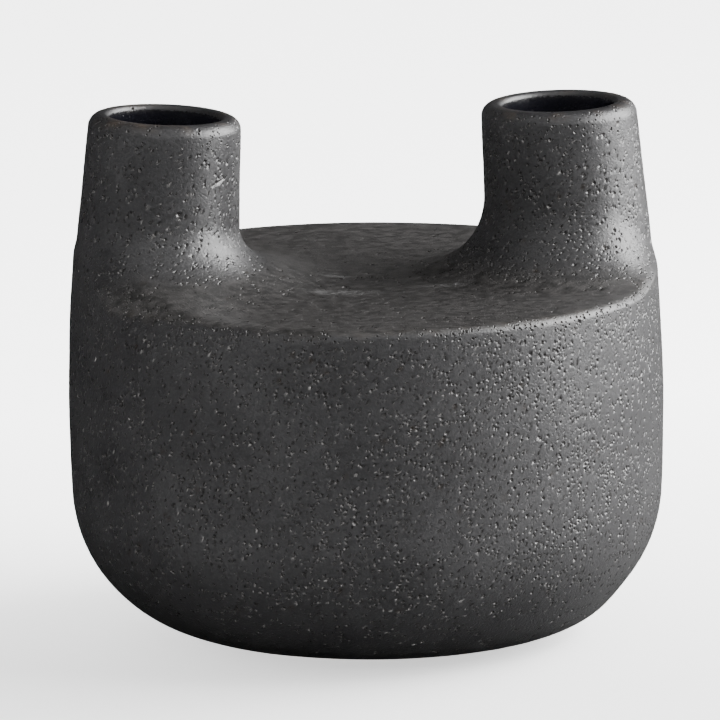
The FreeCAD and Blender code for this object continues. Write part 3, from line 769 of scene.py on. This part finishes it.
def make_glaze():
    """The outside coat and the liner, split from one skin inside the necks."""
    random = np.random.default_rng(SEED)
    reach = BODY_RADIUS + 3 * GRID
    top = SHOULDER_HEIGHT + max(NECK_HEIGHT.values()) + 4 * GRID
    points, quads = net(glaze_distance, (-reach, -reach, -2 * GRID), (reach, reach, top), GRID)
    points = relax(glaze_distance, points, quads, 4)
    points = settle(glaze_distance, points)
    triangles = np.concatenate([quads[:, [0, 1, 2]], quads[:, [0, 2, 3]]])

    centres, radii, depths = burst_bubbles(points, triangles, random)
    spots, spot_radii = scatter_pits(points, triangles, random, SPOTS, *SPOT_RADII)
    points, triangles = refine_curves(points, triangles)
    points, triangles = refine_pits(points, triangles, centres, radii, levels=2)
    points = settle(glaze_distance, points, 2)
    normals = slope_of(glaze_distance, points)
    # How pale each bubble's painted glint is.
    pale = np.clip(random.normal(GLINT_MEAN, GLINT_SPREAD, len(radii)), 0, 1)
    depth, inside, painted_glints = dent(points, centres, radii, depths, pale)
    shallow, no_glints = np.full(len(spots), SPOT_DEPTH), np.zeros(len(spots))
    spot_depth, stained, _ = dent(points, spots, spot_radii, shallow, no_glints)
    values = {"pit": inside, "painted_glint": painted_glints, "spot": stained, "thin": thin_glaze(points)}
    values["inner"], values["top"] = mouth_shade_and_gloss(points), flat_top(points)
    points = points - normals * np.minimum(depth + spot_depth, DEEPEST)[:, None]

    middle = points[triangles].mean(1)
    lined = (rim_heights(middle) < -LINER_DEPTH) & (hollow_distance(middle) < 1.5)
    used, faces = np.unique(triangles[~lined], return_inverse=True)
    coat = mesh_object("dark_glaze_coat", points[used], faces.reshape(-1, 3), glaze_material())
    for name, value in values.items():
        point_values(coat, name, value[used])
    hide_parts("outer_glaze")
    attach(coat, "root")
    used, faces = np.unique(triangles[lined], return_inverse=True)
    lining = mesh_object("liner_glaze_coat", points[used], faces.reshape(-1, 3), liner_material())
    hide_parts("liner_glaze")
    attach(lining, "root")


def refine_curves(points, triangles):
    """Smaller triangles on the lips, along the shoulder's edge and at the glaze line."""
    for size in (0.7 * GRID, 0.45 * GRID):
        lips = rim_heights(points) > -7
        radius = np.hypot(points[:, 0], points[:, 1])
        edge = (np.abs(points[:, 2] - SHOULDER_HEIGHT) < 3) & (radius > BODY_RADIUS - 8)
        line = (np.abs(radius - GLAZE_LINE) < 2) & (points[:, 2] < BARE_HEIGHT + 1)
        fine = lips | edge | line
        points, triangles = split(
            points, triangles, lambda edges, length: fine[edges].any(1) & (length > size)
        )
    return points, triangles


def rim_heights(points):
    """Height of every point above the rim of the nearer neck."""
    return np.where(points[:, 0] < 0, above_rim(points, -1), above_rim(points, 1))


def thin_glaze(points):
    """How thin the glaze has run: most over the lips, and a little along the shoulder's edge."""
    lips = np.clip((rim_heights(points) + 3.5) / 3, 0, 1)
    radius = np.hypot(points[:, 0], points[:, 1])
    inward, upward = radius - BODY_RADIUS + 3, points[:, 2] - SHOULDER_HEIGHT + 1
    edge = np.exp(-((inward / 2.5) ** 2 + (upward / 2) ** 2))
    return np.maximum(0.7 * lips, 0.35 * edge)


def mouth_shade_and_gloss(points):
    """1 on the wall of a mouth, below the lip, where the glaze is painted near black as shade and made
    glossier.
    """
    below = np.clip((-1.0 - rim_heights(points)) / 2, 0, 1)
    return below * np.clip(1.5 - hollow_distance(points), 0, 1)


def flat_top(points):
    """1 on the flat of the shoulder."""
    necks = np.min([neck_distance(points, side) for side in (-1, 1)], axis=0)
    level = np.clip((points[:, 2] - SHOULDER_HEIGHT + 1.6) / 0.8, 0, 1)
    return level * np.clip((necks - 6) / 8, 0, 1)


def slab_distance(p):
    """The slab that closes the bowl, with its step inside the bowl's rim."""
    wall = body_distance(np.hypot(p[:, 0], p[:, 1]), p[:, 2])
    low = np.minimum(SLAB_BOTTOM - p[:, 2], np.maximum(STEP_BOTTOM - p[:, 2], wall + CLAY_DEPTH))
    solid = np.maximum(np.maximum(outside_distance(p) + GLAZE, p[:, 2] - SLAB_TOP), low)
    bores = np.minimum(bore_distance(p, -1), bore_distance(p, 1))
    return np.maximum(solid, GLAZE - bores)


def collar_distance(p, side):
    """The clay worked into the corner round one neck, blunt where it feathers out."""
    above = np.maximum(SLAB_TOP - p[:, 2], -side * p[:, 0])
    skin = outside_distance(p) + COLLAR_DEPTH
    return round_trim(np.maximum(skin, above), -GLAZE - neck_distance(p, side), COLLAR_EDGE)


def neck_clay_distance(p, side):
    """The clay of one neck, standing on the slab."""
    solid = np.maximum(neck_distance(p, side) + GLAZE, SLAB_TOP - p[:, 2])
    return np.maximum(solid, GLAZE - bore_distance(p, side))


def make_clay(clay):
    """The slab, the necks and their collars, shaped by the skin that they lie under."""
    reach, top = BODY_RADIUS + 4, SHOULDER_HEIGHT + 62
    fields = {
        "shoulder_slab": slab_distance,
        "left_neck": lambda p: neck_clay_distance(p, -1),
        "right_neck": lambda p: neck_clay_distance(p, 1),
        "left_neck_collar": lambda p: collar_distance(p, -1),
        "right_neck_collar": lambda p: collar_distance(p, 1),
    }
    for name, field in fields.items():
        points, quads = net(field, (-reach, -reach, STEP_BOTTOM - 4), (reach, reach, top), GRID)
        piece = mesh_object(f"{name}_clay", points, quads, clay)
        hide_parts(name)
        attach(piece, "root")


def dress_clay(clay):
    """Bare clay on every CAD piece; the foot and the middle of the base show it."""
    for name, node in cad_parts.items():
        if name not in ("outer_glaze", "liner_glaze"):
            for each in node.material_slots:
                each.material = clay


# The studio


def look_at(thing, target):
    direction = Vector(target) - thing.location
    thing.rotation_euler = direction.to_track_quat("-Z", "Y").to_euler()


def area_light(name, place, size, power):
    """A rectangular lamp that faces the middle of the vase."""
    data = bpy.data.lights.new(name, "AREA")
    data.shape = "RECTANGLE"
    data.size, data.size_y = size
    data.energy = power
    light = bpy.data.objects.new(name, data)
    bpy.context.scene.collection.objects.link(light)
    light.location = place
    look_at(light, (0, 0, 0.09))


def make_floor():
    """A wide pale floor that curves up into a wall all round. It shows, but the glaze doesn't mirror it."""
    steps, sides = 16, 96
    flat, bend, high = 5.3, 1.2, 4.0
    outline = [(0.0005, 0.0), (1.0, 0.0), (3.0, 0.0)]
    for n in range(steps + 1):
        turn = 0.5 * math.pi * n / steps
        outline.append((flat + bend * math.sin(turn), bend - bend * math.cos(turn)))
    outline.append((flat + bend, high))
    rings = np.array(outline) / MM
    around = 2 * math.pi * np.arange(sides) / sides
    x, y = np.cos(around), np.sin(around)
    points = np.concatenate(
        [np.column_stack([r * x, r * y, np.full(sides, z - FLOOR_GAP)]) for r, z in rings]
    )
    faces = []
    for ring in range(len(rings) - 1):
        for n in range(sides):
            here, after = ring * sides + n, ring * sides + (n + 1) % sides
            faces.append((here, here + sides, after + sides, after))
    floor = mesh_object("studio_floor", points, np.array(faces), floor_material())
    floor.visible_glossy = False


def make_world():
    """A studio that is palest to the right of the vase, pale in front of it, and dark behind and below it."""
    world = bpy.data.worlds.new("studio")
    world.use_nodes = True
    tree = world.node_tree

    def ramp(source, low, high, low_out, high_out):
        node = tree.nodes.new("ShaderNodeMapRange")
        node.interpolation_type = "SMOOTHSTEP"
        tree.links.new(source, node.inputs["Value"])
        for key, number in (("From Min", low), ("From Max", high), ("To Min", low_out), ("To Max", high_out)):
            node.inputs[key].default_value = number
        return node.outputs["Result"]

    def combine(operation, *sources):
        node = tree.nodes.new("ShaderNodeMath")
        node.operation = operation
        for source, socket in zip(sources, node.inputs):
            tree.links.new(source, socket)
        return node.outputs["Value"]

    direction = tree.nodes.new("ShaderNodeSeparateXYZ")
    tree.links.new(tree.nodes.new("ShaderNodeTexCoord").outputs["Generated"], direction.inputs["Vector"])
    front = ramp(direction.outputs["Y"], -0.35, 0.3, 0.36, 0.02)
    above = ramp(direction.outputs["Z"], -0.75, -0.15, 0.05, 1.0)
    right = ramp(direction.outputs["X"], 0.2, 0.8, 0.0, 0.9)
    above_floor = ramp(direction.outputs["Z"], -0.95, -0.45, 0.0, 1.0)
    strength = combine("MULTIPLY_ADD", right, above_floor, combine("MULTIPLY", front, above))
    tree.links.new(strength, tree.nodes["Background"].inputs["Strength"])
    tree.nodes["Background"].inputs["Color"].default_value = (1, 1, 1, 1)
    bpy.context.scene.world = world


def make_lights():
    """A big soft key from the right, a wide soft light overhead, and a small lamp in front for the glints."""
    area_light("key", place=(1.17, -0.05, 0.66), size=(1.5, 1.15), power=92)
    area_light("top", place=(0.0, -0.9, 2.2), size=(4.5, 3.6), power=28)
    area_light("glint", place=(-0.6, -2.4, 1.3), size=(0.3, 0.3), power=4)


def make_camera():
    """A long lens a little above the shoulder, turned so that the left neck stands nearer."""
    turn, rise, roll = math.radians(-9.2), math.radians(11.7), math.radians(0.67)
    distance, frame_width = 3.2, 0.2420
    sideways, height = -0.00197, 0.0917
    aim = Vector((sideways * math.cos(turn), sideways * math.sin(turn), height))
    data = bpy.data.cameras.new("camera")
    data.sensor_width = 36
    data.lens = data.sensor_width * distance / frame_width
    data.clip_end = 50
    camera = bpy.data.objects.new("camera", data)
    bpy.context.scene.collection.objects.link(camera)
    out = Vector((math.sin(turn) * math.cos(rise), -math.cos(turn) * math.cos(rise), math.sin(rise)))
    camera.location = aim + distance * out
    facing = (-out).to_track_quat("-Z", "Y").to_matrix().to_4x4()
    camera.matrix_world = Matrix.Translation(camera.location) @ facing @ Matrix.Rotation(-roll, 4, "Z")
    bpy.context.scene.camera = camera


make_glaze()
stoneware = clay_material()
make_clay(stoneware)
dress_clay(stoneware)
make_floor()
make_world()
make_lights()
make_camera()
